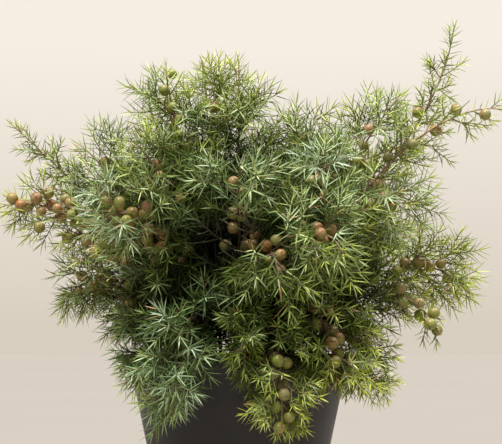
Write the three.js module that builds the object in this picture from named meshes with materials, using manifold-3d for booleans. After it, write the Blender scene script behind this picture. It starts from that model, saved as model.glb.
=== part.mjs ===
// Juniper sprigs with berries, cut and standing in water in a plain tapered pot.
//
// The sprigs fan out of the pot's mouth. The inner ones stand up, the outer ones lean out, and the lowest
// hang over the rim. Each sprig is one grown body: a woody stem, side shoots with sharp needles in whorls
// of three, and round berries that sit close against the stem.
//
// Millimetres, +Z up. X runs to the right and Y to the back, as seen from the front. The origin is the
// centre of the pot's base.
import * as THREE from "three";
import { mergeVertices } from "three/addons/utils/BufferGeometryUtils.js";
import Module from "manifold-3d";

const wasm = await Module();
wasm.setup();

// Pot
const POT_HEIGHT = 180;
const RIM_RADIUS = 109;
const WALL_TOP_RADIUS = 98.5;
const BASE_RADIUS = 60;
const WALL = 2.4;
const LIP_HEIGHT = 6.5;
const LIP_ROUND = 1.6;
const POT_SIDES = 40;

// Water
const WATER_LEVEL = 112;
const WATER_SIDES = 24;
const GAP = 0.35;

// Stems
const FOOT_Z = WALL + 0.6;
const NECK_Z = 150;
const STEM_RADIUS = 2.2;
const STEM_TIP_RADIUS = 1.2;
const STEM_BEND = 46;
const FORK = 1.3;
const FORK_SPACE = 3.4;

// Shoots, needles and berries
const SHOOT_SLOTS = 12;
const DRAWN_SHOOTS = 5;
const DRAWN_BERRIES = 5;
const SHOOT_RADIUS = 1.05;
const SHOOT_LENGTH = 58;
const SHOOT_LEAN = THREE.MathUtils.degToRad(58);
const WHORL_STEP = 5;
const WHORLS = 4;
const TIP_WHORLS = 3;
const NEEDLE_LENGTH = 18;
const NEEDLE_LEAN = THREE.MathUtils.degToRad(62);
const LEAN_EASE = 0.35;
const NEEDLE_RADIUS = 1.0;
const END_SPIKE = 7;
const BERRY_RADIUS = 5;
const BERRY_SEAT = 0.85 * BERRY_RADIUS;
const GOLDEN_ANGLE = THREE.MathUtils.degToRad(137.5);
const THIRD = (2 * Math.PI) / 3;
const CLEARANCE = 0.7;

// One row for each sprig. tip is where it ends. bend gives the heights of the two handles of its curve
// above the base, and swing how far out the second one is. leafy is the share of the curve where its shoots
// begin, and full scales their length. fruit is [from, to, count]: the berries sit between those shares.
const SPRIGS = [
  // Crown, standing up
  { tip: [-32, 12, 446], bend: [250, 370], fruit: [0.74, 0.82, 2] },
  { tip: [0, -12, 444], bend: [260, 370], fruit: [0.6, 0.6, 0] },
  { tip: [-66, -14, 436], bend: [250, 356], fruit: [0.74, 0.98, 6] },
  { tip: [72, 22, 405], bend: [260, 350], fruit: [0.8, 0.8, 1] },
  { tip: [142, -36, 408], bend: [276, 370], fruit: [0.76, 0.86, 3] },
  // Right side
  { tip: [230, -58, 392], bend: [322, 406], leafy: 0.42, full: 0.7, fruit: [0.6, 0.95, 6] },
  { tip: [197, 8, 480], bend: [296, 366], swing: 0.92, leafy: 0.5, full: 0.5, fruit: [0.66, 0.76, 2] },
  { tip: [206, -8, 236], bend: [248, 288], full: 0.9, fruit: [0.7, 0.8, 2] },
  { tip: [174, -52, 198], bend: [240, 262], full: 0.5, fruit: [0.72, 0.97, 8] },
  { tip: [103, -80, 148], bend: [244, 230], swing: 0.96, full: 0.8, fruit: [0.7, 0.7, 1] },
  // Left side
  { tip: [-213, -30, 308], bend: [270, 334], leafy: 0.35, full: 0.75, fruit: [0.56, 0.94, 16] },
  { tip: [-206, 4, 388], bend: [262, 346], leafy: 0.5, full: 0.42, fruit: [0.6, 0.6, 0] },
  { tip: [-146, 26, 372], bend: [262, 346], fruit: [0.8, 0.8, 1] },
  { tip: [-158, 2, 226], bend: [246, 272], full: 0.7, fruit: [0.6, 0.8, 3] },
  { tip: [-111, 44, 202], bend: [238, 262], full: 0.75, fruit: [0.6, 0.86, 3] },
  { tip: [-78, -90, 156], bend: [240, 226], swing: 0.96, full: 0.6, fruit: [0.6, 0.6, 0] },
  // Front, hanging over the rim
  { tip: [-51, -140, 134], bend: [246, 222], swing: 0.98, full: 0.68, fruit: [0.6, 0.6, 0] },
  { tip: [36, -138, 120], bend: [240, 216], swing: 0.98, full: 0.7, fruit: [0.62, 0.97, 8] },
  { tip: [80, -118, 160], bend: [244, 228], swing: 0.96, full: 0.85, fruit: [0.5, 0.72, 4] },
  { tip: [6, -150, 168], bend: [246, 244], swing: 0.92, full: 0.42, fruit: [0.6, 0.6, 0] },
  // Front, pointing at the viewer
  { tip: [34, -160, 236], bend: [262, 296], fruit: [0.6, 0.84, 6] },
  { tip: [-116, -124, 280], bend: [284, 328], fruit: [0.56, 0.88, 10] },
  { tip: [84, -152, 262], bend: [268, 306], fruit: [0.66, 0.86, 4] },
  { tip: [2, -136, 336], bend: [272, 336], fruit: [0.5, 0.88, 6] },
  { tip: [-84, -104, 356], bend: [268, 342], fruit: [0.8, 0.8, 1] },
  { tip: [88, -108, 350], bend: [270, 338], fruit: [0.74, 0.82, 2] },
  { tip: [153, -74, 322], bend: [272, 326], fruit: [0.8, 0.87, 2] },
  // Back
  { tip: [-88, 108, 378], bend: [268, 346], fruit: [0.78, 0.86, 2] },
  { tip: [36, 84, 396], bend: [268, 352], fruit: [0.78, 0.86, 2] },
  { tip: [-14, 162, 322], bend: [270, 334], fruit: [0.74, 0.86, 3] },
  { tip: [-126, 112, 290], bend: [266, 312], fruit: [0.7, 0.88, 3] },
  { tip: [146, 108, 284], bend: [266, 312], fruit: [0.7, 0.88, 3] },
  { tip: [-52, 150, 198], bend: [240, 262], fruit: [0.64, 0.86, 3] },
  { tip: [34, 152, 178], bend: [244, 240], swing: 0.9, fruit: [0.64, 0.86, 3] },
];

// A repeatable number from 0 to 1 for three whole numbers.
function draw(a, b, c) {
  const wave = Math.sin(a * 12.9898 + b * 78.233 + c * 37.719) * 43758.5453;
  return wave - Math.floor(wave);
}

const clamp = THREE.MathUtils.clamp;
const lerp = THREE.MathUtils.lerp;
const vector = (x, y, z) => new THREE.Vector3(x, y, z);

// The pot's outer radius at a height, and a test for points of the foliage that would touch the pot.
function potRadius(z) {
  if (z > POT_HEIGHT - LIP_HEIGHT) return RIM_RADIUS;
  return lerp(BASE_RADIUS, WALL_TOP_RADIUS, z / POT_HEIGHT);
}
function nearPot(p) {
  return p.z < POT_HEIGHT + 3 && Math.hypot(p.x, p.y) < potRadius(p.z) + 3;
}

// The shortest distance between two segments, p0 to p1 and q0 to q1.
function segmentGap(p0, p1, q0, q1) {
  const u = p1.clone().sub(p0);
  const v = q1.clone().sub(q0);
  const w = p0.clone().sub(q0);
  const [a, b, c, d, e] = [u.dot(u), u.dot(v), v.dot(v), u.dot(w), v.dot(w)];
  const across = a * c - b * b;
  let s = across > 1e-9 ? clamp((b * e - c * d) / across, 0, 1) : 0;
  const t = c > 1e-9 ? clamp((b * s + e) / c, 0, 1) : 0;
  s = a > 1e-9 ? clamp((b * t - d) / a, 0, 1) : 0;
  return w.addScaledVector(u, s).addScaledVector(v, -t).length();
}

// A frame square to a direction. side is kept as near as can be to the hint.
function frameOf(along, hint) {
  const side = hint.clone().addScaledVector(along, -hint.dot(along)).normalize();
  const rise = new THREE.Vector3().crossVectors(along, side);
  const radial = (turn) => side.clone().multiplyScalar(Math.cos(turn)).addScaledVector(rise, Math.sin(turn));
  const angleOf = (p) => Math.atan2(p.dot(rise), p.dot(side));
  return { along, radial, angleOf };
}

// A sprig's stem: straight from its foot in the water to its neck, then a curve to its tip. The stem keeps
// to one upright plane through the pot's axis. Feet and necks spread by the same rule as the tips, so that
// stems fan out without crossing.
function stemOf({ tip, bend, swing = 0.72 }) {
  const [x, y, z] = tip;
  const azimuth = Math.atan2(y, x);
  const reach = Math.hypot(x, y);
  const spread = clamp(Math.atan2(reach, z - NECK_Z) / THREE.MathUtils.degToRad(95), 0, 1);
  const at = (r, h) => vector(r * Math.cos(azimuth), r * Math.sin(azimuth), h);
  const foot = at(lerp(8, 46, spread), FOOT_Z);
  const neckRadius = lerp(12, 74, spread);
  const neck = at(neckRadius, NECK_Z);
  const curve = new THREE.CubicBezierCurve3(
    neck,
    at(lerp(neckRadius, reach, 0.15), bend[0]),
    at(lerp(neckRadius, reach, swing), bend[1]),
    vector(x, y, z),
  );
  const hint = vector(-Math.sin(azimuth), Math.cos(azimuth), 0);
  const straight = frameOf(neck.clone().sub(foot).normalize(), hint);
  const length = curve.getLength();
  const pointAt = (s) => curve.getPointAt(clamp(s / length, 0, 1));
  const frameAt = (s) => frameOf(curve.getTangentAt(clamp(s / length, 0, 1)), hint);
  const radiusAt = (s) => lerp(STEM_RADIUS, STEM_TIP_RADIUS, clamp(s / length, 0, 1));
  return { foot, neck, hint, straight, length, pointAt, frameAt, radiusAt };
}

// A side shoot leaves the stem at an angle and bends back towards the stem's own direction. Its curve is
// 0.965 of its nominal length.
function shootOf(k, i, stem, { leafy = 0.3, full = 1 }) {
  const s = stem.length * lerp(leafy, 0.88, (i + 0.5) / SHOOT_SLOTS);
  const turn = i * GOLDEN_ANGLE + k * 2.1;
  const taper = lerp(1.15, 0.62, i / (SHOOT_SLOTS - 1));
  const length = SHOOT_LENGTH * full * taper * (0.85 + 0.3 * draw(k, i, 1));
  const start = stem.pointAt(s);
  const frame = stem.frameAt(s);
  const heading = frame.along
    .clone()
    .multiplyScalar(Math.cos(SHOOT_LEAN))
    .addScaledVector(frame.radial(turn), Math.sin(SHOOT_LEAN));
  const curve = new THREE.QuadraticBezierCurve3(
    start,
    start.clone().addScaledVector(heading, 0.5 * length),
    start.clone().addScaledVector(heading, 0.84 * length).addScaledVector(frame.along, 0.2 * length),
  );
  return { kind: "shoot", id: i, s, turn, curve, length: 0.965 * length };
}

// A berry sits close against the stem.
function berryOf(k, i, stem, [from, to, count]) {
  const s = stem.length * (count > 1 ? lerp(from, to, i / (count - 1)) : from);
  const turn = i * GOLDEN_ANGLE + k;
  const place = stem.pointAt(s).addScaledVector(stem.frameAt(s).radial(turn), stem.radiusAt(s) + BERRY_SEAT);
  return { kind: "berry", id: i, s, turn, place };
}

// Lays out every stem, berry and shoot, and leaves out those that would run into something already laid.
function layOut() {
  const cores = [];
  const lay = (sprig, piece, points, radius) => {
    for (let i = 1; i < points.length; i++) {
      cores.push({ sprig, piece, a: points[i - 1], b: points[i], radius });
    }
  };
  const clear = (sprig, points, radius) =>
    !points.some(nearPot) &&
    cores.every((core) => {
      if (core.sprig === sprig && core.piece === "stem") return true;
      const room = radius + core.radius + CLEARANCE;
      return points.every((p, i) => i === 0 || segmentGap(points[i - 1], p, core.a, core.b) > room);
    });
  const sprigs = SPRIGS.map((row, k) => {
    const stem = stemOf(row);
    const along = Array.from({ length: 10 }, (_, i) => stem.pointAt((stem.length * i) / 9));
    const end = along[9].clone().addScaledVector(stem.frameAt(stem.length).along, END_SPIKE);
    lay(k, "stem", [stem.foot, ...along, end], STEM_RADIUS);
    return { k, row, stem, forks: [] };
  });
  const free = (sprig, s) =>
    s < sprig.stem.length - TIP_WHORLS * WHORL_STEP - FORK_SPACE &&
    sprig.forks.every((fork) => Math.abs(fork.s - s) > FORK_SPACE);
  for (const sprig of sprigs) {
    const step = Math.ceil(sprig.row.fruit[2] / DRAWN_BERRIES);
    for (let i = 0; i < sprig.row.fruit[2]; i += step) {
      const berry = berryOf(sprig.k, i, sprig.stem, sprig.row.fruit);
      if (!free(sprig, berry.s) || !clear(sprig.k, [berry.place, berry.place], BERRY_RADIUS)) continue;
      sprig.forks.push(berry);
      lay(sprig.k, `berry ${i}`, [berry.place, berry.place], BERRY_RADIUS);
    }
  }
  for (const outermost of [1, 2, 3]) {
    for (const sprig of sprigs) {
      for (let i = SHOOT_SLOTS - outermost; i >= 0; i -= 3) {
        if (sprig.forks.filter((fork) => fork.kind === "shoot").length === DRAWN_SHOOTS) break;
        const shoot = shootOf(sprig.k, i, sprig.stem, sprig.row);
        const points = shoot.curve.getPoints(4);
        points.push(points[4].clone().addScaledVector(shoot.curve.getTangent(1), END_SPIKE));
        if (!free(sprig, shoot.s) || !clear(sprig.k, points, SHOOT_RADIUS)) continue;
        sprig.forks.push(shoot);
        lay(sprig.k, `shoot ${i}`, points, SHOOT_RADIUS);
      }
    }
  }
  return { sprigs, cores };
}

// A ring of corners round a centre, added to a skin. It gives back the corners' numbers.
function addRing(skin, centre, frame, turn, radius, sides = 3) {
  const first = skin.points.length;
  for (let n = 0; n < sides; n++) {
    skin.points.push(centre.clone().addScaledVector(frame.radial(turn + (2 * Math.PI * n) / sides), radius));
  }
  return Array.from({ length: sides }, (_, n) => first + n);
}

// One stage of skin between two rings. The faces that point down are closed, those that point up are given
// back, either to be closed or to have something grow out of them.
function addStage(skin, low, high) {
  return low.map((corner, n) => {
    const next = (n + 1) % low.length;
    skin.triangles.push([low[next], high[next], high[n]]);
    return [corner, low[next], high[n]];
  });
}

function close(skin, faces) {
  skin.triangles.push(...faces);
}

function addSpike(skin, ring, tip) {
  const apex = skin.points.push(tip) - 1;
  ring.forEach((corner, n) => skin.triangles.push([corner, ring[(n + 1) % ring.length], apex]));
}

function middle(skin, face) {
  const sum = face.reduce((total, corner) => total.add(skin.points[corner]), vector(0, 0, 0));
  return sum.divideScalar(face.length);
}

// A whorl: a needle drawn out of each face that points up, where there is room for one.
function addWhorl(skin, faces, frame, turn, lean, seed, fits) {
  faces.forEach((face, n) => {
    const root = middle(skin, face);
    const heading = frame.along
      .clone()
      .multiplyScalar(Math.cos(lean))
      .addScaledVector(frame.radial(turn + (n + 0.5) * THIRD), Math.sin(lean));
    const full = NEEDLE_LENGTH * (0.85 + 0.3 * draw(seed[0], seed[1], n));
    const size = [full, 0.65 * full].find((length) => fits(root, heading, length));
    if (size) addSpike(skin, face, root.addScaledVector(heading, size));
    else close(skin, [face]);
  });
}

// Grows a shoot out of a face: a slim core with whorls of needles on its outer end.
function growShoot(skin, face, shoot, k, hint, fits) {
  const { curve, length } = shoot;
  const whorls = clamp(Math.round((length - 6) / WHORL_STEP), 2, WHORLS);
  const stalk = length - whorls * WHORL_STEP;
  const stops = Array.from({ length: whorls + 1 }, (_, i) => stalk + i * WHORL_STEP);
  const side = frameOf(curve.getTangent(0.5), hint).radial(0);
  const centre = middle(skin, face);
  let ring = face;
  let turn = null;
  let frame = null;
  stops.forEach((stop, i) => {
    const share = clamp(stop / length, 0, 1);
    const next = frameOf(curve.getTangent(share), side);
    const nextTurn = (turn ?? next.angleOf(skin.points[face[0]].clone().sub(centre))) + Math.PI / 3;
    const high = addRing(skin, curve.getPoint(share), next, nextTurn, SHOOT_RADIUS * lerp(1.1, 0.75, share));
    const faces = addStage(skin, ring, high);
    const whorl = i - (stops.length - whorls);
    if (whorl >= 0) {
      const lean = NEEDLE_LEAN - (LEAN_EASE * whorl) / whorls;
      addWhorl(skin, faces, frame, turn, lean, [k * 31 + shoot.id, i], fits);
    } else close(skin, faces);
    [ring, turn, frame] = [high, nextTurn, next];
  });
  addSpike(skin, ring, curve.getPoint(1).addScaledVector(frame.along, END_SPIKE));
}

// Grows a berry out of a face: two rings of six corners and a top.
function growBerry(skin, face, place) {
  const centre = middle(skin, face);
  const outward = place.clone().sub(centre).normalize();
  const [a, b] = [skin.points[face[0]], skin.points[face[1]]];
  const frame = frameOf(outward, a.clone().sub(b));
  const turn = frame.angleOf(a.clone().sub(centre));
  const ring = (height, spin) => {
    const at = place.clone().addScaledVector(outward, height * BERRY_RADIUS);
    return addRing(skin, at, frame, turn + spin, 0.9 * BERRY_RADIUS, 6);
  };
  const low = ring(-0.5, 0);
  const high = ring(0.45, Math.PI / 6);
  face.forEach((corner, n) => {
    const next = face[(n + 1) % 3];
    const [c, d, e] = [low[2 * n], low[2 * n + 1], low[(2 * n + 2) % 6]];
    skin.triangles.push([corner, d, c], [corner, next, d], [next, e, d]);
  });
  close(skin, addStage(skin, low, high));
  addSpike(skin, high, place.clone().addScaledVector(outward, BERRY_RADIUS));
}

// Three.js geometry to a solid for joining and cutting, and back.
function geometryOf({ points, triangles }) {
  const g = new THREE.BufferGeometry();
  g.setAttribute("position", new THREE.Float32BufferAttribute(points.flatMap((p) => [p.x, p.y, p.z]), 3));
  g.setIndex(triangles.flat());
  return g;
}
function bare(geometry) {
  geometry.deleteAttribute("normal");
  geometry.deleteAttribute("uv");
  return mergeVertices(geometry, 1e-4);
}
function solidOf(geometry) {
  const g = bare(geometry);
  const vertProperties = g.attributes.position.array;
  const triVerts = new Uint32Array(g.index.array);
  return new wasm.Manifold(new wasm.Mesh({ numProp: 3, vertProperties, triVerts }));
}
function geometryFrom(solid) {
  const { numVert, numProp, vertProperties, triVerts } = solid.getMesh();
  const positions = new Float32Array(numVert * 3);
  for (let i = 0; i < numVert; i++) {
    positions.set(vertProperties.subarray(i * numProp, i * numProp + 3), 3 * i);
  }
  const g = new THREE.BufferGeometry();
  g.setAttribute("position", new THREE.BufferAttribute(positions, 3));
  g.setIndex(new THREE.BufferAttribute(new Uint32Array(triVerts), 1));
  return g;
}
function meshOf(name, geometry, material) {
  const mesh = new THREE.Mesh(geometry, material);
  mesh.name = name;
  return mesh;
}

const potPlastic = new THREE.MeshStandardMaterial({ color: 0x2b2827, roughness: 0.55, metalness: 0 });
const water = new THREE.MeshStandardMaterial({ color: 0xa9bcb4, roughness: 0.05, metalness: 0 });
const foliage = new THREE.MeshStandardMaterial({ color: 0x5f7f4a, roughness: 0.6, metalness: 0 });

function lathe(profile, sides) {
  const outline = profile.map(([r, z]) => new THREE.Vector2(r, z));
  return new THREE.LatheGeometry(outline, sides).rotateX(Math.PI / 2);
}

// The pot: a straight taper from the base to the wall's top, with an outward lip and rounded corners.
function makePot() {
  const underLip = POT_HEIGHT - LIP_HEIGHT;
  const wallUnderLip = lerp(BASE_RADIUS, WALL_TOP_RADIUS, underLip / POT_HEIGHT);
  const profile = [
    [0, 0],
    [BASE_RADIUS - 2, 0],
    [BASE_RADIUS, 2],
    [wallUnderLip, underLip],
    [RIM_RADIUS - LIP_ROUND, underLip],
    [RIM_RADIUS, underLip + LIP_ROUND],
    [RIM_RADIUS, POT_HEIGHT - LIP_ROUND],
    [RIM_RADIUS - LIP_ROUND, POT_HEIGHT],
    [WALL_TOP_RADIUS - WALL, POT_HEIGHT],
    [BASE_RADIUS - WALL, WALL],
    [0, WALL],
  ];
  return meshOf("pot", bare(lathe(profile, POT_SIDES)), potPlastic);
}

// The water: it fills the pot to its level, with a plain hole for each stem.
function makeWater(sprigs) {
  const radiusAt = (z) => lerp(BASE_RADIUS, WALL_TOP_RADIUS, z / POT_HEIGHT) - WALL - 2 * GAP;
  const low = WALL + GAP;
  const profile = [
    [0, low],
    [radiusAt(low), low],
    [radiusAt(WATER_LEVEL), WATER_LEVEL],
    [0, WATER_LEVEL],
  ];
  let body = solidOf(lathe(profile, WATER_SIDES));
  for (const { stem } of sprigs) {
    const hole = { points: [], triangles: [] };
    const width = STEM_RADIUS + 2 * GAP;
    const below = stem.foot.clone().addScaledVector(stem.straight.along, -5);
    const bottom = addRing(hole, below, stem.straight, 0, width);
    const top = addRing(hole, stem.neck, stem.straight, 0, width);
    close(hole, addStage(hole, bottom, top));
    close(hole, [[...bottom].reverse(), top]);
    body = body.subtract(solidOf(geometryOf(hole)));
  }
  return meshOf("water", geometryFrom(body), water);
}

// One sprig, grown as one closed skin: its stem, and the shoots and berries that fork from it.
function makeSprig({ k, stem, forks }, cores, needles) {
  const skin = { points: [], triangles: [] };
  const fitsOn = (piece) => (root, heading, length) => {
    const start = root.clone().addScaledVector(heading, 1.5);
    const end = root.clone().addScaledVector(heading, length);
    if (nearPot(end) || nearPot(start.clone().lerp(end, 0.5))) return false;
    const far = (other) =>
      (other.sprig === k && other.piece === piece) ||
      segmentGap(start, end, other.a, other.b) > NEEDLE_RADIUS + other.radius + CLEARANCE;
    if (!cores.every(far) || !needles.every(far)) return false;
    needles.push({ sprig: k, piece, a: start, b: end, radius: NEEDLE_RADIUS });
    return true;
  };
  const foot = addRing(skin, stem.foot, stem.straight, 0, STEM_RADIUS);
  close(skin, [[...foot].reverse()]);
  let ring = addRing(skin, stem.neck, stem.straight, 0, STEM_RADIUS);
  close(skin, addStage(skin, foot, ring));
  let at = 0;
  let turn = 0;
  const climb = (s, nextTurn) => {
    const high = addRing(skin, stem.pointAt(s), stem.frameAt(s), nextTurn, stem.radiusAt(s));
    const faces = addStage(skin, ring, high);
    [at, turn, ring] = [s, nextTurn, high];
    return faces;
  };
  const climbPlain = (s, wanted) => {
    const steps = Math.max(1, Math.ceil((s - at) / STEM_BEND));
    const step = (s - at) / steps;
    for (let i = 1; i < steps; i++) close(skin, climb(at + step, turn + Math.PI / 3));
    const twist = wanted === undefined ? Math.PI / 3 : (((wanted - turn) % THIRD) + THIRD) % THIRD;
    close(skin, climb(s, turn + twist));
  };
  for (const fork of [...forks].sort((a, b) => a.s - b.s)) {
    climbPlain(fork.s - FORK, fork.turn - Math.PI / 3);
    const out = Math.round((fork.turn - Math.PI / 3 - turn) / THIRD);
    const faces = climb(fork.s + FORK, turn + Math.PI / 3);
    const [grown] = faces.splice(((out % 3) + 3) % 3, 1);
    close(skin, faces);
    if (fork.kind === "berry") growBerry(skin, grown, fork.place);
    else growShoot(skin, grown, fork, k, stem.hint, fitsOn(`shoot ${fork.id}`));
  }
  climbPlain(stem.length - TIP_WHORLS * WHORL_STEP);
  for (let i = 0; i < TIP_WHORLS; i++) {
    const frame = stem.frameAt(at);
    const from = turn;
    const faces = climb(at + WHORL_STEP, turn + Math.PI / 3);
    const lean = NEEDLE_LEAN - (LEAN_EASE * i) / TIP_WHORLS;
    addWhorl(skin, faces, frame, from, lean, [k * 31 + 29, i], fitsOn("stem"));
  }
  addSpike(skin, ring, stem.pointAt(stem.length).addScaledVector(stem.frameAt(stem.length).along, END_SPIKE));
  return meshOf(`sprig_${String(k + 1).padStart(2, "0")}`, geometryOf(skin), foliage);
}

const { sprigs, cores } = layOut();
const needles = [];
const part = new THREE.Group();
part.add(makePot(), makeWater(sprigs));
for (const sprig of sprigs) part.add(makeSprig(sprig, cores, needles));

export default part;
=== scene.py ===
"""Cut juniper sprigs with berries, standing in water in a plain dark pot."""

import functools
import math
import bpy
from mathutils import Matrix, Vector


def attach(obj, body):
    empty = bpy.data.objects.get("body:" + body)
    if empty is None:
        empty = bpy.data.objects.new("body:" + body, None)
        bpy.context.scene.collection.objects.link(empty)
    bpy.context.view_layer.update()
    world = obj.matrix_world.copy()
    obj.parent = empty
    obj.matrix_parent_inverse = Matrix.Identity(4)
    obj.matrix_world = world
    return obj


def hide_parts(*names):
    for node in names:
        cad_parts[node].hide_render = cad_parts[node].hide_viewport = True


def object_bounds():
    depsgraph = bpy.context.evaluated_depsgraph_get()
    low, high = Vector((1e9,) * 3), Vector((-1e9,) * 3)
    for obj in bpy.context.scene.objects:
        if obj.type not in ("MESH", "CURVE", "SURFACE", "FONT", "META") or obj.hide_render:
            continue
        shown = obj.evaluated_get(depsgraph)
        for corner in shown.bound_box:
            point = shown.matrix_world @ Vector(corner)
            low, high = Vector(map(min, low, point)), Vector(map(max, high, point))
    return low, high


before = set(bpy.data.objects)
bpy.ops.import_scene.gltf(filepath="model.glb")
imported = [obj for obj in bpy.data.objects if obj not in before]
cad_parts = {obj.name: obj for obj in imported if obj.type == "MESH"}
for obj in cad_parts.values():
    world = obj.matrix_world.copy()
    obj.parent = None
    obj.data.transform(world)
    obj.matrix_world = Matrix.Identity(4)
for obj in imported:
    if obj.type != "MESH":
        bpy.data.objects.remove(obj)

from types import SimpleNamespace

import bpy
import numpy as np
from mathutils import Vector

bl_info = {
    "name": "Potted Juniper Sprigs",
    "version": (1, 0, 0),
    "blender": (4, 5, 0),
    "location": "View3D > Sidebar > Juniper",
    "description": "Builds a pot of berried juniper sprigs round its packed solids",
    "category": "Add Mesh",
}

CAD_BOX = [list(corner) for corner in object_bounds()]
MM = 0.001

# The pot and its water, in millimetres, as in the part's own solids.
POT_HEIGHT = 180.0
RIM_RADIUS = 109.0
WALL_TOP_RADIUS = 98.5
BASE_RADIUS = 60.0
WALL = 2.4
LIP_HEIGHT = 6.5
WATER_LEVEL = 112.0

# Stems, as in the solids: the radii of the feet and necks, from the most upright sprig to the widest one.
FOOT_Z = WALL + 0.6
NECK_Z = 150.0
FOOT_RADII = (8, 46)
NECK_RADII = (12, 74)
WIDEST_SPREAD = math.radians(95)
FIRST_SWING = 0.15
SOLID_STEM_RADII = (2.2, 1.2)
WOOD_RADII = (1.8, 0.6)

# Leading shoots: places on each stem, the last place's share of it, and lengths from first to last.
SLOTS = 12
LAST_SLOT = 0.88
GOLDEN = math.radians(137.5)
SHOOT_LEAN = math.radians(58)
SHOOT_TAPER = (1.15, 0.62)
SHOOT_SPREAD = (0.85, 1.15)
CURVE_LENGTH = 0.965

# Side shoots on the leading ones, and tufts on the stem between them.
AIRY_SIDE_SHOOTS = 2
SIDE_SHARES = (0.2, 0.82)
SIDE_SPREAD = (0.75, 1.25)
SIDE_LEAN_DEGREES = (38, 58)
TUFT_SHARES = (0.05, 0.97)
TUFT_CROWDING = 1.3
TUFT_LENGTHS = (12, 26)
TUFT_LEAN = math.radians(50)

# For leading shoots, side shoots and tufts: rings and sides of the wood, its radii from root to tip, how
# barky its root is, and the share of its length that bears no needles.
SHOOT_KINDS = (
    SimpleNamespace(rings=8, sides=6, radii=(0.95, 0.4), age=0.85, bare=0.24),
    SimpleNamespace(rings=4, sides=4, radii=(0.6, 0.32), age=0.35, bare=0.08),
    SimpleNamespace(rings=4, sides=4, radii=(0.6, 0.35), age=0.3, bare=0.05),
)

# Needles: how the airy sprigs' are shorter, how a shoot's end differs, and how each needle is drawn apart.
AIRY_SIZE = 0.72
FINE_STEP = 0.4
STEM_LEAFY = 0.45
STEM_STEP = 1.3
BUD_REACH = 1.6
BUD_LEAN_DEGREES = 24
BUD_SHORTER = 0.3
LEAN_DRAW = 20
TURN_DRAW = 0.5
NEEDLE_SPREAD = (0.82, 1.18)
WIDTH_SPREAD = (0.85, 1.15)
NEEDLE_SEAT = 0.35
NEEDLE_BOW = 0.05
NEEDLE_ROOM = 14.0
FINE_FROM = 0.66

# Berries: how they sit, how far apart they are, and the lines of sight that needles leave open to them.
BERRY_SEAT = 4.25
BERRY_TILT = 0.5
BERRY_APART = 9.4
BERRY_POT_ROOM = 6.0
BERRY_ROOM = 7.0
BERRY_WINDOW = 26.0
FRONT_UP_TO = 30.0
HEAP_REACH = 0.1
HEAP_SEAT = 0.9 + BERRY_SEAT

# How each berry is drawn apart: its turn in radians, its size, its ripeness, how much riper its sunny side
# is, and its bloom.
BERRY_TURN = 6.28
BERRY_SPREAD = (0.92, 1.1)
RIPE_DRAW = 0.65
SUNNY_RIPER = 0.3
BLOOM_SPREAD = (0.05, 0.45)

# The sprig whose bare branch shows, and the line of sight to it.
BARE_BRANCH = 5
BARE_SHARES = (0.42, 0.8)
BRANCH_WINDOW = 70.0
BRANCH_ROOM = 3.4

# The bush's own form: its reach from its middle to each side, which sets painted shade deep in it, and the
# dark hollow in its front, with painted shade on the needles round it.
BUSH_MIDDLE = np.array([0.0, 0.0, 200.0])
BUSH_REACH = np.array([185.0, 185.0, 215.0])
RIGHT_REACH = 160.0
LEFT_LOW_REACH = 126.0
LEFT_LOW_TOP = 290.0
HANG_REACH = 90.0
HOLLOW_MIDDLE = np.array([-8.0, -120.0, 278.0])
HOLLOW_REACH = np.array([32.0, 80.0, 22.0])
HOLLOW_PAINTED_SHADE = (0.6, 0.2)

# Painted light and shade in the needles' colour: in the middle of the bush and at its skin, then how shoots
# and needles differ.
DEEP_PAINTED_LIGHT = 0.018
SKIN_PAINTED_LIGHT = 1.35
PAINTED_LIGHT_POWER = 5
ROOT_TO_TIP_LIGHT = (0.3, 1.35)
BUD_LIGHT = 0.35
SHOOT_LIGHT = (0.55, 1.45)
NEEDLE_LIGHT = (0.8, 1.2)
LIGHT_LIMITS = (0.01, 2.0)

# Tone of the needles, and the shares of them that are dry: in the bush's middle and at its skin.
SHOOT_TONE_DRAW = 0.6
NEEDLE_TONE_DRAW = 0.12
BUD_TONE = 0.15
DRY_TONE = 0.8
DRY_NEEDLES = (0.075, 0.025)
DRY_SHOOTS = 0.08
DRY_SHOOTS_UP_TO = 0.75

FLOOR_RADIUS = 9000.0
SENSOR_WIDTH = 36.0


def sprig(tip, bend, berries, tone, ripe, leafy=0.3, full=1.0, swing=0.72, airy=False, fine=1.0, heap=1):
    """One sprig: its tip, its curve's handles, its berries, and where its shoots begin, as in the part.

    Then its looks: tone runs from 0, blue-green, to 1, yellow-green, and ripe from 0, olive, to 1, red-brown.
    An airy sprig has fewer side shoots and shorter needles, so that its wood shows. A fine of less than 1
    gives shorter needles, closer together. A heap of more than 0 gives each leading shoot among the berries
    that many of its own.
    """
    return SimpleNamespace(
        tip=tip, bend=bend, berries=berries, tone=tone, ripe=ripe, leafy=leafy, full=full, swing=swing,
        airy=airy, fine=fine, heap=heap,
    )


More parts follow.
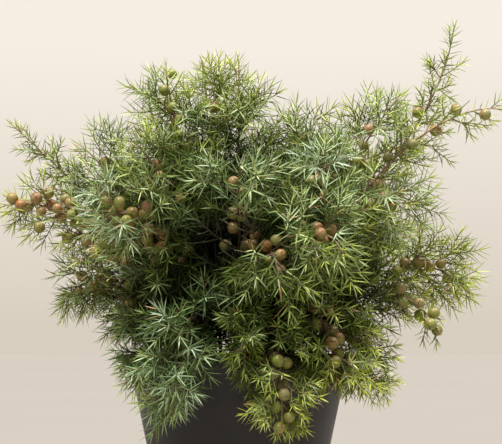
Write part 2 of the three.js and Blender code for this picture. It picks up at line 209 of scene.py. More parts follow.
SPRIGS = [
    # Crown, standing up
    sprig((-32, 12, 446), (250, 370), (0.74, 0.82, 2), 0.6, 0.4),
    sprig((0, -12, 444), (260, 370), (0.6, 0.6, 0), 0.7, 0.4),
    sprig((-66, -14, 436), (250, 356), (0.74, 0.98, 6), 0.7, 0.1),
    sprig((72, 22, 405), (260, 350), (0.8, 0.8, 1), 0.55, 0.4),
    sprig((142, -36, 408), (276, 370), (0.76, 0.86, 3), 0.6, 0.5),
    # Right side
    sprig((230, -58, 392), (322, 406), (0.6, 0.95, 6), 0.7, 0.4, leafy=0.42, full=0.7, airy=True, heap=0),
    sprig((197, 8, 480), (296, 366), (0.66, 0.76, 2), 0.8, 0.35,
          leafy=0.5, full=0.5, swing=0.92, airy=True, heap=0),
    sprig((206, -8, 236), (248, 288), (0.7, 0.8, 2), 0.9, 0.3, full=0.9),
    sprig((174, -52, 198), (240, 262), (0.72, 0.97, 8), 0.85, 0.2, full=0.5, airy=True),
    sprig((103, -80, 148), (244, 230), (0.7, 0.7, 1), 0.8, 0.3, full=0.8, swing=0.96, fine=0.66),
    # Left side
    sprig((-213, -30, 308), (270, 334), (0.56, 0.94, 16), 0.6, 0.5, leafy=0.35, full=0.75, heap=4),
    sprig((-206, 4, 388), (262, 346), (0.6, 0.6, 0), 0.5, 0.4, leafy=0.5, full=0.42, airy=True),
    sprig((-146, 26, 372), (262, 346), (0.8, 0.8, 1), 0.5, 0.4),
    sprig((-158, 2, 226), (246, 272), (0.6, 0.8, 3), 0.35, 0.4, full=0.7),
    sprig((-111, 44, 202), (238, 262), (0.6, 0.86, 3), 0.3, 0.5, full=0.75),
    sprig((-78, -90, 156), (240, 226), (0.6, 0.6, 0), 0.2, 0.4, full=0.6, swing=0.96),
    # Front, hanging over the rim
    sprig((-51, -140, 134), (246, 222), (0.6, 0.6, 0), 0.05, 0.4, full=0.68, swing=0.98),
    sprig((36, -138, 120), (240, 216), (0.62, 0.97, 8), 0.85, 0.0, full=0.7, swing=0.98, fine=0.7),
    sprig((80, -118, 160), (244, 228), (0.5, 0.72, 4), 0.85, 0.4, full=0.85, swing=0.96, fine=0.75),
    sprig((6, -150, 168), (246, 244), (0.6, 0.6, 0), 0.5, 0.4, full=0.42, swing=0.92, fine=0.75),
    # Front, pointing at the viewer
    sprig((34, -160, 236), (262, 296), (0.6, 0.84, 6), 0.4, 0.5),
    sprig((-116, -124, 280), (284, 328), (0.56, 0.88, 10), 0.3, 0.5, heap=2),
    sprig((84, -152, 262), (268, 306), (0.66, 0.86, 4), 0.45, 0.5),
    sprig((2, -136, 336), (272, 336), (0.5, 0.88, 6), 0.3, 0.5),
    sprig((-84, -104, 356), (268, 342), (0.8, 0.8, 1), 0.55, 0.4),
    sprig((88, -108, 350), (270, 338), (0.74, 0.82, 2), 0.2, 0.4),
    sprig((153, -74, 322), (272, 326), (0.8, 0.87, 2), 0.5, 0.4),
    # Back
    sprig((-88, 108, 378), (268, 346), (0.78, 0.86, 2), 0.45, 0.4),
    sprig((36, 84, 396), (268, 352), (0.78, 0.86, 2), 0.5, 0.4),
    sprig((-14, 162, 322), (270, 334), (0.74, 0.86, 3), 0.5, 0.5),
    sprig((-126, 112, 290), (266, 312), (0.7, 0.88, 3), 0.4, 0.6),
    sprig((146, 108, 284), (266, 312), (0.7, 0.88, 3), 0.6, 0.4),
    sprig((-52, 150, 198), (240, 262), (0.64, 0.86, 3), 0.4, 0.5),
    sprig((34, 152, 178), (244, 240), (0.64, 0.86, 3), 0.6, 0.4, swing=0.9),
]


# Numbers and directions


def draws(a, b, c):
    """Repeatable numbers from 0 to 1: what is left of a large multiple of a sine of the three numbers.

    The last number keeps the draws for one use apart from those for another.
    """
    wave = np.sin(np.asarray(a) * 12.9898 + np.asarray(b) * 78.233 + np.asarray(c) * 37.719) * 43758.5453
    return wave - np.floor(wave)


def lerp(a, b, t):
    """What lies at share t of the way from a to b."""
    return a + (b - a) * t


def unit(v):
    """Vectors divided by their lengths."""
    return v / np.maximum(np.linalg.norm(v, axis=-1, keepdims=True), 1e-12)


def square_to(along, hint):
    """Two directions square to along: what is left of the hint, and along crossed with that."""
    side = unit(hint - np.sum(hint * along, axis=-1, keepdims=True) * along)
    return side, np.cross(along, side)


def any_square(along):
    """Two directions square to along, from whichever of two fixed hints leans away from it."""
    upright = np.abs(along[..., 2:3]) > 0.8
    hint = np.where(upright, np.array([1.0, 0.0, 0.0]), np.array([0.0, 0.0, 1.0]))
    return square_to(along, hint)


def around(side, rise, turn):
    """Directions round a stem: cosine of the turn times one side plus its sine times the other."""
    return side * np.cos(turn)[..., None] + rise * np.sin(turn)[..., None]


def quadratic(c, t):
    """Points of quadratic curves c (n, 3, 3) at shares t (n, m): the weighted mean of the three handles."""
    t = t[..., None]
    return (1 - t) ** 2 * c[:, None, 0] + 2 * t * (1 - t) * c[:, None, 1] + t**2 * c[:, None, 2]


def quadratic_heading(c, t):
    """Directions of quadratic curves: twice the weighted mean of the steps between their handles."""
    t = t[..., None]
    return unit((1 - t) * (c[:, None, 1] - c[:, None, 0]) + t * (c[:, None, 2] - c[:, None, 1]))


# The sprigs' layout


def stem_of(row):
    """A sprig's stem in millimetres: straight from foot to neck, then a cubic curve in one upright plane.

    Lengths along the curve are read off a table of 200 chords.
    """
    x, y, z = row.tip
    azimuth = math.atan2(y, x)
    reach = math.hypot(x, y)
    spread = min(1.0, max(0.0, math.atan2(reach, z - NECK_Z) / WIDEST_SPREAD))

    def at(r, h):
        return np.array([r * math.cos(azimuth), r * math.sin(azimuth), h])

    neck_radius = lerp(*NECK_RADII, spread)
    foot = at(lerp(*FOOT_RADII, spread), FOOT_Z)
    handles = np.array([
        at(neck_radius, NECK_Z),
        at(lerp(neck_radius, reach, FIRST_SWING), row.bend[0]),
        at(lerp(neck_radius, reach, row.swing), row.bend[1]),
        [x, y, z],
    ])

    def cubic(t):
        t = np.asarray(t, float)[..., None]
        a, b, c, d = handles
        return (1 - t) ** 3 * a + 3 * t * (1 - t) ** 2 * b + 3 * t**2 * (1 - t) * c + t**3 * d

    def heading(t):
        t = np.asarray(t, float)[..., None]
        a, b, c, d = handles
        return unit((1 - t) ** 2 * (b - a) + 2 * t * (1 - t) * (c - b) + t**2 * (d - c))

    steps = np.linspace(0, 1, 201)
    chords = np.linalg.norm(np.diff(cubic(steps), axis=0), axis=1)
    lengths = np.concatenate([[0], np.cumsum(chords)])
    hint = np.array([-math.sin(azimuth), math.cos(azimuth), 0.0])

    def share(s):
        return np.interp(s, lengths, steps)

    def point(s):
        return cubic(share(s))

    def axes(s):
        along = heading(share(s))
        return along, *square_to(along, hint)

    return SimpleNamespace(foot=foot, length=lengths[-1], point=point, axes=axes)


def near_pot(p, room):
    """True for points in or close to the pot: low enough, and nearer its axis than its tapered wall."""
    radius = np.hypot(p[..., 0], p[..., 1])
    z = p[..., 2]
    taper = lerp(BASE_RADIUS, WALL_TOP_RADIUS, z / POT_HEIGHT)
    wall = np.where(z > POT_HEIGHT - LIP_HEIGHT, RIM_RADIUS, taper)
    return (z < POT_HEIGHT + room) & (radius < wall + room)


def in_solids_box(p, room):
    """True for points inside the box of the part's solids, grown by some room."""
    low, high = (np.array(corner) / MM for corner in CAD_BOX)
    return ((p > low - room) & (p < high + room)).all(axis=-1)


def shoot_curves(start, along, out, length, lean):
    """Quadratic curves that leave at an angle and bend back towards the parent's own direction."""
    heading = along * np.cos(lean) + out * np.sin(lean)
    size = length[:, None]
    return np.stack([
        start,
        start + 0.5 * size * heading,
        start + 0.84 * size * heading + 0.2 * size * along,
    ], axis=1)


def leading_shoots(k, row, stem):
    """Curves and lengths of a stem's leading shoots: evenly up it, a golden angle apart, and ever shorter."""
    i = np.arange(SLOTS)
    at = stem.length * lerp(row.leafy, LAST_SLOT, (i + 0.5) / SLOTS)
    along, side, rise = stem.axes(at)
    out = around(side, rise, i * GOLDEN + k * 2.1)
    taper = lerp(*SHOOT_TAPER, i / (SLOTS - 1))
    shoot = bpy.context.scene.juniper_foliage.shoot_length / MM
    length = shoot * row.full * taper * lerp(*SHOOT_SPREAD, draws(k, i, 1))
    return shoot_curves(stem.point(at), along, out, length, SHOOT_LEAN), length


def side_shoots(k, row, leading):
    """Curves and lengths of the shoots on each leading one: a golden angle apart, shorter towards its tip."""
    s = bpy.context.scene.juniper_foliage
    count = AIRY_SIDE_SHOOTS if row.airy else s.side_shoots
    j = np.repeat(np.arange(SLOTS), count)
    m = np.tile(np.arange(count), SLOTS)
    q = lerp(*SIDE_SHARES, (m + draws(k * 7 + 1, j, m)) / count)
    start = quadratic(leading[j], q[:, None])[:, 0]
    along = quadratic_heading(leading[j], q[:, None])[:, 0]
    side, rise = any_square(along)
    out = around(side, rise, m * GOLDEN + 2 * math.pi * draws(k, j, 50))
    length = s.side_length / MM * row.full * (1.1 - 0.5 * q) * lerp(*SIDE_SPREAD, draws(k * 3 + 2, j, m))
    lean = np.radians(lerp(*SIDE_LEAN_DEGREES, draws(k + 5, j, m * 3)))[:, None]
    return shoot_curves(start, along, out, length, lean), length


def stem_tufts(k, stem):
    """Curves and lengths of a stem's tufts: a golden angle apart, and closer together low down."""
    count = bpy.context.scene.juniper_foliage.tufts
    n = np.arange(count)
    at = stem.length * lerp(*TUFT_SHARES, ((n + draws(k, n, 70)) / count) ** TUFT_CROWDING)
    along, side, rise = stem.axes(at)
    out = around(side, rise, n * GOLDEN + k * 1.3 + 0.6)
    length = lerp(*TUFT_LENGTHS, draws(k, n, 71))
    return shoot_curves(stem.point(at), along, out, length, TUFT_LEAN), length


def berries_of(k, row, stem, leading, kept):
    """Centres and headings of a sprig's berries: along its stem, a golden angle apart, and on its shoots.

    A berry that would sit in another one or in the pot is left out.
    """
    first, last, count = row.berries
    b = np.arange(count)
    at = stem.length * (lerp(first, last, b / (count - 1)) if count > 1 else np.full(count, first))
    along, side, rise = stem.axes(at)
    out = around(side, rise, b * GOLDEN + k)
    seat = lerp(*SOLID_STEM_RADII, at / stem.length) + BERRY_SEAT
    centres = stem.point(at) + seat[:, None] * out
    headings = unit(out + BERRY_TILT * along)

    i = np.arange(SLOTS)
    near = kept & (lerp(row.leafy, LAST_SLOT, (i + 0.5) / SLOTS) > first - HEAP_REACH) & (count > 0)
    j = np.repeat(i[near], row.heap)
    m = np.tile(np.arange(row.heap), near.sum())
    share = (0.2 + 0.2 * m + 0.1 * draws(k, j, m + 40))[:, None]
    along = quadratic_heading(leading[j], share)[:, 0]
    side, rise = any_square(along)
    out = around(side, rise, m * GOLDEN + j * 2.0 + k)
    centres = np.concatenate([centres, quadratic(leading[j], share)[:, 0] + HEAP_SEAT * out])
    headings = np.concatenate([headings, unit(out + BERRY_TILT * along)])

    apart = np.linalg.norm(centres[:, None] - centres[None], axis=-1)
    free = ~(np.tril(apart < BERRY_APART, -1)).any(axis=1) & ~near_pot(centres, BERRY_POT_ROOM)
    return centres[free], headings[free]


@functools.lru_cache(maxsize=None)
def sprig_layout(k):
    """One sprig's stem, shoots and berries in millimetres.

    The leading shoots and the berries follow the part's rule. A shoot that would enter the pot or leave the
    box of the part's solids is left out.
    """
    row = SPRIGS[k]
    stem = stem_of(row)
    leading = leading_shoots(k, row, stem)
    kinds = (leading, side_shoots(k, row, leading[0]), stem_tufts(k, stem))
    curves = np.concatenate([shoots for shoots, _ in kinds])
    lengths = CURVE_LENGTH * np.concatenate([length for _, length in kinds])
    kind = np.concatenate([np.full(len(length), code) for code, (_, length) in enumerate(kinds)])
    probe = quadratic(curves, np.tile([0.35, 0.7, 1.0], (len(curves), 1)))
    kept = ~near_pot(probe, 2.0).any(axis=1) & in_solids_box(probe, 0.0).all(axis=1)
    centres, headings = berries_of(k, row, stem, leading[0], kept[:SLOTS])
    return SimpleNamespace(
        row=row, stem=stem, curves=curves[kept], lengths=lengths[kept], kind=kind[kept],
        berries=centres, berry_headings=headings,
    )


# Meshes


def put_mesh(name, points, faces, material, uvs=None, colours=None):
    """A mesh object from points in millimetres and a list of face arrays, each of one number of corners."""
    corners = np.concatenate([f.ravel() for f in faces])
    sizes = np.concatenate([np.full(len(f), f.shape[1]) for f in faces])
    starts = np.concatenate([[0], np.cumsum(sizes)[:-1]])
    mesh = bpy.data.meshes.new(name)
    mesh.vertices.add(len(points))
    mesh.vertices.foreach_set("co", np.ascontiguousarray(points * MM, np.float32).ravel())
    mesh.loops.add(len(corners))
    mesh.loops.foreach_set("vertex_index", corners.astype(np.int32))
    mesh.polygons.add(len(sizes))
    mesh.polygons.foreach_set("loop_start", starts.astype(np.int32))
    mesh.update(calc_edges=True)
    mesh.polygons.foreach_set("use_smooth", np.ones(len(sizes), bool))
    for layer, values in (uvs or {}).items():
        uv = mesh.uv_layers.new(name=layer)
        uv.uv.foreach_set("vector", np.ascontiguousarray(values, np.float32).ravel())
    for layer, values in (colours or {}).items():
        attribute = mesh.attributes.new(layer, "FLOAT_COLOR", "POINT")
        full = np.ones((len(points), 4), np.float32)
        full[:, :3] = values
        attribute.data.foreach_set("color", full.ravel())
    mesh.validate()
    piece = bpy.data.objects.new(name, mesh)
    bpy.context.scene.collection.objects.link(piece)
    mesh.materials.append(material)
    return piece


def ring_faces(rings, sides):
    """Quads between neighbouring rings of points, and a fan of triangles from an end point at each end.

    The corners are numbered ring by ring, and the two end points come last.
    """
    n = np.arange(sides)
    following = (n + 1) % sides
    low = np.arange(rings - 1)[:, None] * sides
    high = low + sides
    quads = np.stack([low + n, low + following, high + following, high + n], axis=-1).reshape(-1, 4)
    end = np.full(sides, rings * sides)
    fans = np.concatenate([
        np.stack([end, following, n], axis=-1),
        np.stack([end + 1, end - sides + n, end - sides + following], axis=-1),
    ])
    return quads, fans


def lathe(profile, sides):
    """A closed profile of (radius, height) carried round the vertical axis, with its two ends on the axis."""
    profile = np.asarray(profile, float)
    turn = 2 * np.pi * np.arange(sides) / sides
    inner = profile[1:-1]
    ring = np.stack([
        inner[:, :1] * np.cos(turn),
        inner[:, :1] * np.sin(turn),
        np.repeat(inner[:, 1:], sides, axis=1),
    ], axis=-1)
    ends = np.array([[0, 0, profile[0, 1]], [0, 0, profile[-1, 1]]])
    return np.concatenate([ring.reshape(-1, 3), ends]), ring_faces(len(inner), sides)


def tubes(paths, radii, sides):
    """Round tubes carried along paths (n, p, 3): rings square to each path, closed by a fan at each end."""
    n, p = paths.shape[:2]
    along = unit(np.gradient(paths, axis=1))
    hint = any_square(unit(paths[:, -1] - paths[:, 0]))[0][:, None]
    side, rise = square_to(along, hint)
    turn = 2 * np.pi * np.arange(sides) / sides
    spokes = side[:, :, None] * np.cos(turn)[:, None] + rise[:, :, None] * np.sin(turn)[:, None]
    rings = paths[:, :, None] + radii[:, :, None, None] * spokes
    ends = np.stack([paths[:, 0], paths[:, -1] + along[:, -1] * radii[:, -1:]], axis=1)
    points = np.concatenate([rings.reshape(n, p * sides, 3), ends], axis=1)
    quads, fans = ring_faces(p, sides)
    shift = (np.arange(n) * (p * sides + 2))[:, None, None]
    return points.reshape(-1, 3), [(quads + shift).reshape(-1, 4), (fans + shift).reshape(-1, 3)]


def joined(parts):
    """Several (points, faces) sets as one, with the corner numbers moved along."""
    points, quads, fans, shift = [], [], [], 0
    for own, (four, three) in parts:
        points.append(own)
        quads.append(four + shift)
        fans.append(three + shift)
        shift += len(own)
    return np.concatenate(points), [np.concatenate(quads), np.concatenate(fans)]


# Corners of a needle: its root, a section of three, in the fine grade a second section, and its tip.
# A section's first two corners are its left and right edges, and its third is the keel.
FINE = SimpleNamespace(
    along=np.array([0.0, 0.12, 0.12, 0.12, 0.56, 0.56, 0.56, 1.0]),
    across=np.array([0.0, -0.5, 0.5, 0.0, -0.4, 0.4, 0.0, 0.0]),
    deep=np.array([0.0, 0.0, 0.0, -0.5, 0.0, 0.0, -0.4, 0.0]),
    quads=np.array([[1, 2, 5, 4], [3, 1, 4, 6], [2, 3, 6, 5]]),
    tris=np.array([[0, 2, 1], [4, 5, 7], [0, 1, 3], [0, 3, 2], [6, 4, 7], [5, 6, 7]]),
    upper={(1, 2, 5, 4), (0, 2, 1), (4, 5, 7)},
)
PLAIN = SimpleNamespace(
    along=np.array([0.0, 0.3, 0.3, 0.3, 1.0]),
    across=np.array([0.0, -0.5, 0.5, 0.0, 0.0]),
    deep=np.array([0.0, 0.0, 0.0, -0.5, 0.0]),
    quads=np.zeros((0, 4), int),
    tris=np.array([[0, 2, 1], [1, 2, 4], [0, 1, 3], [0, 3, 2], [3, 1, 4], [2, 3, 4]]),
    upper={(0, 2, 1), (1, 2, 4)},
)


def needle_blades(grade, root, heading, up, length, width):
    """Needles as slim three-sided blades: a point at the root, one or two sections, and a sharp tip.

    A section is flat above and keeled below. The blade bows away from its upper side by the square of the
    distance along it.
    """
    side = np.cross(heading, up)
    size = length[:, None, None]
    across = grade.across[None, :, None] * width[:, None, None]
    deep = grade.deep[None, :, None] * width[:, None, None]
    v = grade.along[None, :, None]
    return (
        root[:, None]
        + heading[:, None] * v * size
        + side[:, None] * across
        + up[:, None] * (deep - NEEDLE_BOW * v**2 * size)
    )


def needle_maps(grade, faces, cell, grid):
    """Two UV maps for needles. One runs across and along each blade's upper face, and lies at 0 elsewhere.

    The other gives each blade a cell of its own in a square grid, its upper face beside its keel's faces.
    """
    upper = np.array([tuple(face) in grade.upper for face in faces.tolist()])[:, None]
    across = 0.5 + np.sign(grade.across[faces]) / 2
    along = grade.along[faces]
    blade = np.stack([np.where(upper, across, 0.0), along], axis=-1)
    apart = np.stack([0.08 + 0.38 * across + np.where(upper, 0.0, 0.46), 0.06 + 0.88 * along], axis=-1)
    own = cell[:, None, None] + apart[None] / grid
    return np.broadcast_to(blade, own.shape).reshape(-1, 2), own.reshape(-1, 2)


def outerness(p):
    """From 0 in the middle of the bush to 1 at its skin: the length of the offset over the bush's reach.

    The reach is shorter on the right, on the lower left and below the bush's middle, where sprigs hang. It
    sets the painted shade of needles and wood, the share of dry needles and the needles' finer grade.
    """
    away = (p - BUSH_MIDDLE) / BUSH_REACH
    away[..., 0] = np.where(p[..., 0] > 0, p[..., 0] / RIGHT_REACH, away[..., 0])
    low_left = (p[..., 0] < 0) & (p[..., 2] < LEFT_LOW_TOP)
    away[..., 0] = np.where(low_left, p[..., 0] / LEFT_LOW_REACH, away[..., 0])
    hanging = (p[..., 2] - BUSH_MIDDLE[2]) / HANG_REACH
    away[..., 2] = np.where(hanging < 0, hanging, away[..., 2])
    return np.clip(np.linalg.norm(away, axis=-1), 0, 1)


@functools.lru_cache(maxsize=None)
def berry_places():
    """The centres of all the berries."""
    return np.concatenate([sprig_layout(k).berries for k in range(len(SPRIGS))])


def clear_of(root, end, centre, outwards, reach, room):
    """True for needles that are further than the room from a line of some reach out of a centre.

    Each needle is tried near its root, past its middle and at its tip.
    """
    keep = np.ones(len(root), bool)
    for share in (0.3, 0.65, 1.0):
        away = lerp(root, end, share) - centre
        ahead = np.clip(away @ outwards, 0, reach)
        keep &= np.linalg.norm(away - ahead[:, None] * outwards, axis=-1) > room
    return keep


def in_sight(root, end):
    """True for needles that leave the berries and the one long bare branch in sight.

    From each berry a short line runs outwards, away from the middle of the bush and, in its front half, also
    to the front. From each point of the branch a longer one runs to the front. Needles keep clear of them.
    """
    keep = np.ones(len(root), bool)
    for centre in berry_places():
        to_front = 1.0 if centre[1] < FRONT_UP_TO else 0.0
        outwards = unit(unit(centre - BUSH_MIDDLE) - np.array([0, to_front, 0]))
        keep &= clear_of(root, end, centre, outwards, BERRY_WINDOW, BERRY_ROOM)
    stem = sprig_layout(BARE_BRANCH).stem
    for centre in stem.point(stem.length * np.linspace(*BARE_SHARES, 60)):
        keep &= clear_of(root, end, centre, np.array([0.0, -1.0, 0.0]), BRANCH_WINDOW, BRANCH_ROOM)
    return keep


def from_hollow(p):
    """Distances from the middle of the dark hollow that the front sprigs leave, in shares of its reach."""
    return np.linalg.norm((p - HOLLOW_MIDDLE) / HOLLOW_REACH, axis=-1)


def whorls_of(layout):
    """Where a sprig's whorls sit: their middles, directions and hints, their share of the shoot, its number
    and their order from its end.

    They stand one step apart from the end of each shoot down to its bare root, then a little further apart
    along the stem's own outer part, which counts as one more shoot.
    """
    row, stem = layout.row, layout.stem
    step = bpy.context.scene.juniper_foliage.whorl_step / MM * lerp(FINE_STEP, 1.0, row.fine)
    bare = np.array([kind.bare for kind in SHOOT_KINDS])[layout.kind] * layout.lengths
    whorls = np.maximum(2, np.round((layout.lengths - bare) / step)).astype(int)
    shoot = np.repeat(np.arange(len(whorls)), whorls)
    order = np.arange(len(shoot)) - np.repeat(np.cumsum(whorls) - whorls, whorls)
    share = 1 - (order + 0.25) * step / layout.lengths[shoot]
    middle = quadratic(layout.curves[shoot], share[:, None])[:, 0]
    along = quadratic_heading(layout.curves[shoot], share[:, None])[:, 0]
    hint = any_square(unit(layout.curves[:, 2] - layout.curves[:, 0]))[0][shoot]

    rows = np.arange(int(STEM_LEAFY * stem.length / (STEM_STEP * step)))
    at = stem.length - 0.5 - rows * STEM_STEP * step
    stem_along, stem_side, _ = stem.axes(at)
    return SimpleNamespace(
        middle=np.concatenate([middle, stem.point(at)]),
        share=np.concatenate([share, at / stem.length]),
        along=np.concatenate([along, stem_along]),
        hint=np.concatenate([hint, stem_side]),
        shoot=np.concatenate([shoot, np.full(len(rows), len(whorls))]),
        order=np.concatenate([order, rows]),
    )


def needles_of(layout, k):
    """A sprig's needles, three to a whorl, each whorl turned by half the angle between them.

    They lean out by the set angle, less towards a shoot's end, where they are also shorter. Those that would
    enter the pot or the hollow, hide a berry or pass the part's box by more than a little are left out.
    """
    s = bpy.context.scene.juniper_foliage
    whorls = whorls_of(layout)
    shoot, order = whorls.shoot[:, None], whorls.order[:, None]
    side, rise = square_to(whorls.along, whorls.hint)
    three = np.arange(3)
    turn = order * math.pi / 3 + three * 2 * math.pi / 3 + shoot * 1.7
    turn = turn + TURN_DRAW * (draws(shoot, order, three + 11 * k) - 0.5)
    bud = np.exp(-order / BUD_REACH)
    lean = lerp(s.lean_degrees, BUD_LEAN_DEGREES, bud) + LEAN_DRAW * (draws(order, shoot, three + k) - 0.5)
    lean = np.radians(lean)[..., None]
    out = around(side[:, None], rise[:, None], turn)
    along = whorls.along[:, None]
    heading = unit(along * np.cos(lean) + out * np.sin(lean))
    up = unit(along * np.sin(lean) - out * np.cos(lean))
    size = layout.row.fine * (AIRY_SIZE if layout.row.airy else 1)
    length = s.needle_length / MM * size * lerp(*NEEDLE_SPREAD, draws(shoot * 3 + k, order, three))
    length = (length * (1 - BUD_SHORTER * bud)).ravel()

    root, heading, up = (
        a.reshape(-1, 3) for a in (whorls.middle[:, None] + out * NEEDLE_SEAT, heading, up)
    )
    end = root + heading * length[:, None]
    hollow = from_hollow(lerp(root, end, 0.6))
    keep = ~(near_pot(end, 1.0) | near_pot(root, 1.0) | near_pot(0.5 * (end + root), 1.0))
    keep &= in_sight(root, end) & (hollow > 1) & in_solids_box(end, NEEDLE_ROOM)
    # Needles close to the hollow get painted shade, darker the nearer they are.
    near, least = HOLLOW_PAINTED_SHADE
    needles = {
        "root": root, "heading": heading, "up": up, "length": length,
        "bud": np.repeat(bud.ravel(), 3), "share": np.repeat(whorls.share, 3),
        "shoot": np.repeat(whorls.shoot, 3), "outer": outerness(root),
        "shade": np.clip(hollow - near, least, 1.0),
    }
    return SimpleNamespace(**{name: values[keep] for name, values in needles.items()})


def needle_looks(needles, row, k):
    """The tone and light of each needle.

    The tone is the sprig's own, drawn apart by shoot and by needle, and yellower at a shoot's end. The light
    is painted shade in the colour: it grows with a power of how near the bush's skin the needle is, and from
    its shoot's root to its tip, partly for the darker old growth at the root and partly as painted shade. A
    draw for its shoot, one for itself and the hollow's painted shade multiply it. Dry needles have a tone of
    1.
    """
    n = np.arange(len(needles.length))
    shoot, outer, bud = needles.shoot, needles.outer, needles.bud
    tone = row.tone + SHOOT_TONE_DRAW * (draws(shoot, k, 2) - 0.5) + BUD_TONE * bud
    tone = tone + NEEDLE_TONE_DRAW * (draws(n, k, 6) - 0.5)
    light = (DEEP_PAINTED_LIGHT + SKIN_PAINTED_LIGHT * outer**PAINTED_LIGHT_POWER) * lerp(*ROOT_TO_TIP_LIGHT, needles.share)
    light = light * (1 + BUD_LIGHT * bud) * lerp(*SHOOT_LIGHT, draws(shoot, k, 8))
    light = np.clip(light * lerp(*NEEDLE_LIGHT, draws(n, k, 7)) * needles.shade, *LIGHT_LIMITS)
    dry = draws(n, k, 9) < lerp(*DRY_NEEDLES, outer)
    dry |= (draws(shoot, k, 12) < DRY_SHOOTS) & (outer < DRY_SHOOTS_UP_TO)
    return np.where(dry, 1.0, DRY_TONE * np.clip(tone, 0, 1)), light


def berry_shape(rings, sides):
    """A berry's skin on a grid of two angles: a ball a little longer than wide, dimpled at its far end.

    Three short grooves meet in the dimple, where the berry's scales closed.
    """
    polar = np.pi * np.arange(1, rings) / rings
    turn = 2 * np.pi * np.arange(sides) / sides
    p, t = np.meshgrid(polar, turn, indexing="ij")
    groove = np.exp(-((p / 0.5) ** 2)) * (0.5 + 0.5 * np.cos(3 * t)) ** 2
    radius = 1 - 0.035 * np.exp(-((p / 0.22) ** 2)) - 0.045 * groove * (p > 0.01)
    ball = np.stack([np.sin(p) * np.cos(t), np.sin(p) * np.sin(t), 1.03 * np.cos(p)], axis=-1)
    ring = (radius[..., None] * ball).reshape(-1, 3)
    points = np.concatenate([ring, [[0, 0, 0.965], [0, 0, -1.02]]])
    # The mark, highest along the grooves and in the dimple, carries their painted shade.
    mark = np.concatenate([groove.ravel(), [1.0, 0.0]])

    # The rings run from the top down, so each face's corners are taken the other way round.
    quads, fans = ring_faces(rings - 1, sides)
    return points, quads[:, [0, 3, 2, 1]], fans[:, [0, 2, 1]], mark


# Materials


class Net:
    """Short names for the nodes of one material or world."""

    def __init__(self, tree):
        self.nodes = tree.nodes
        self.links = tree.links

    def first(self, kind):
        """The first node of a kind."""
        return next(node for node in self.nodes if node.type == kind)

    def feed(self, socket, value):
        """Link a socket to another one, or give it a plain number or colour."""
        if hasattr(value, "is_linked"):
            self.links.new(value, socket)
        elif isinstance(value, (int, float)):
            socket.default_value = value
        else:
            socket.default_value = (*value, 1.0)

    def surface(self, inputs):
        """Feed the surface shader's sockets by name."""
        shader = self.first("BSDF_PRINCIPLED")
        for name, value in inputs.items():
            self.feed(shader.inputs[name], value)

    def noise(self, scale, detail=3.0):
        """Noise on Object coordinates."""
        texture = self.nodes.new("ShaderNodeTexNoise")
        self.feed(texture.inputs["Scale"], scale)
        self.feed(texture.inputs["Detail"], detail)
        self.feed(texture.inputs["Vector"], self.nodes.new("ShaderNodeTexCoord").outputs["Object"])
        return texture.outputs["Fac"]

    def remap(self, value, low, high, to_low=0.0, to_high=1.0):
        """A number moved from one range to another and held inside it."""
        node = self.nodes.new("ShaderNodeMapRange")
        names = ("Value", "From Min", "From Max", "To Min", "To Max")
        for name, given in zip(names, (value, low, high, to_low, to_high)):
            self.feed(node.inputs[name], given)
        return node.outputs["Result"]

    def arithmetic(self, operation, a, b):
        """One step of arithmetic on two numbers."""
        node = self.nodes.new("ShaderNodeMath")
        node.operation = operation
        self.feed(node.inputs[0], a)
        self.feed(node.inputs[1], b)
        return node.outputs[0]

    def blend(self, factor, a, b, kind="MIX"):
        """A mix of two colours, each a socket or a plain colour."""
        node = self.nodes.new("ShaderNodeMix")
        node.data_type = "RGBA"
        node.blend_type = kind
        node.clamp_factor = True
        first, second = (socket for socket in node.inputs if socket.type == "RGBA")
        self.feed(first, a)
        self.feed(second, b)
        self.feed(node.inputs["Factor"], factor)
        return next(socket for socket in node.outputs if socket.type == "RGBA")

    def colour_of(self, red, green, blue):
        """Three numbers as one colour."""
        node = self.nodes.new("ShaderNodeCombineColor")
        for socket, value in zip(node.inputs, (red, green, blue)):
            self.feed(socket, value)
        return node.outputs[0]

    def split(self, layer):
        """The three numbers that a colour attribute holds."""
        attribute = self.nodes.new("ShaderNodeAttribute")
        attribute.attribute_name = layer
        parts = self.nodes.new("ShaderNodeSeparateColor")
        self.feed(parts.inputs["Color"], attribute.outputs["Color"])
        return [parts.outputs[i] for i in range(3)]

    def bump(self, height, distance, strength=1.0):
        """Normals tilted as if the surface rose by the height times the distance."""
        node = self.nodes.new("ShaderNodeBump")
        self.feed(node.inputs["Distance"], distance)
        self.feed(node.inputs["Strength"], strength)
        self.feed(node.inputs["Height"], height)
        return node.outputs["Normal"]


def new_material(name):
    """A new material and its nodes."""
    material = bpy.data.materials.new(name)
    material.use_nodes = True
    return material, Net(material.node_tree)


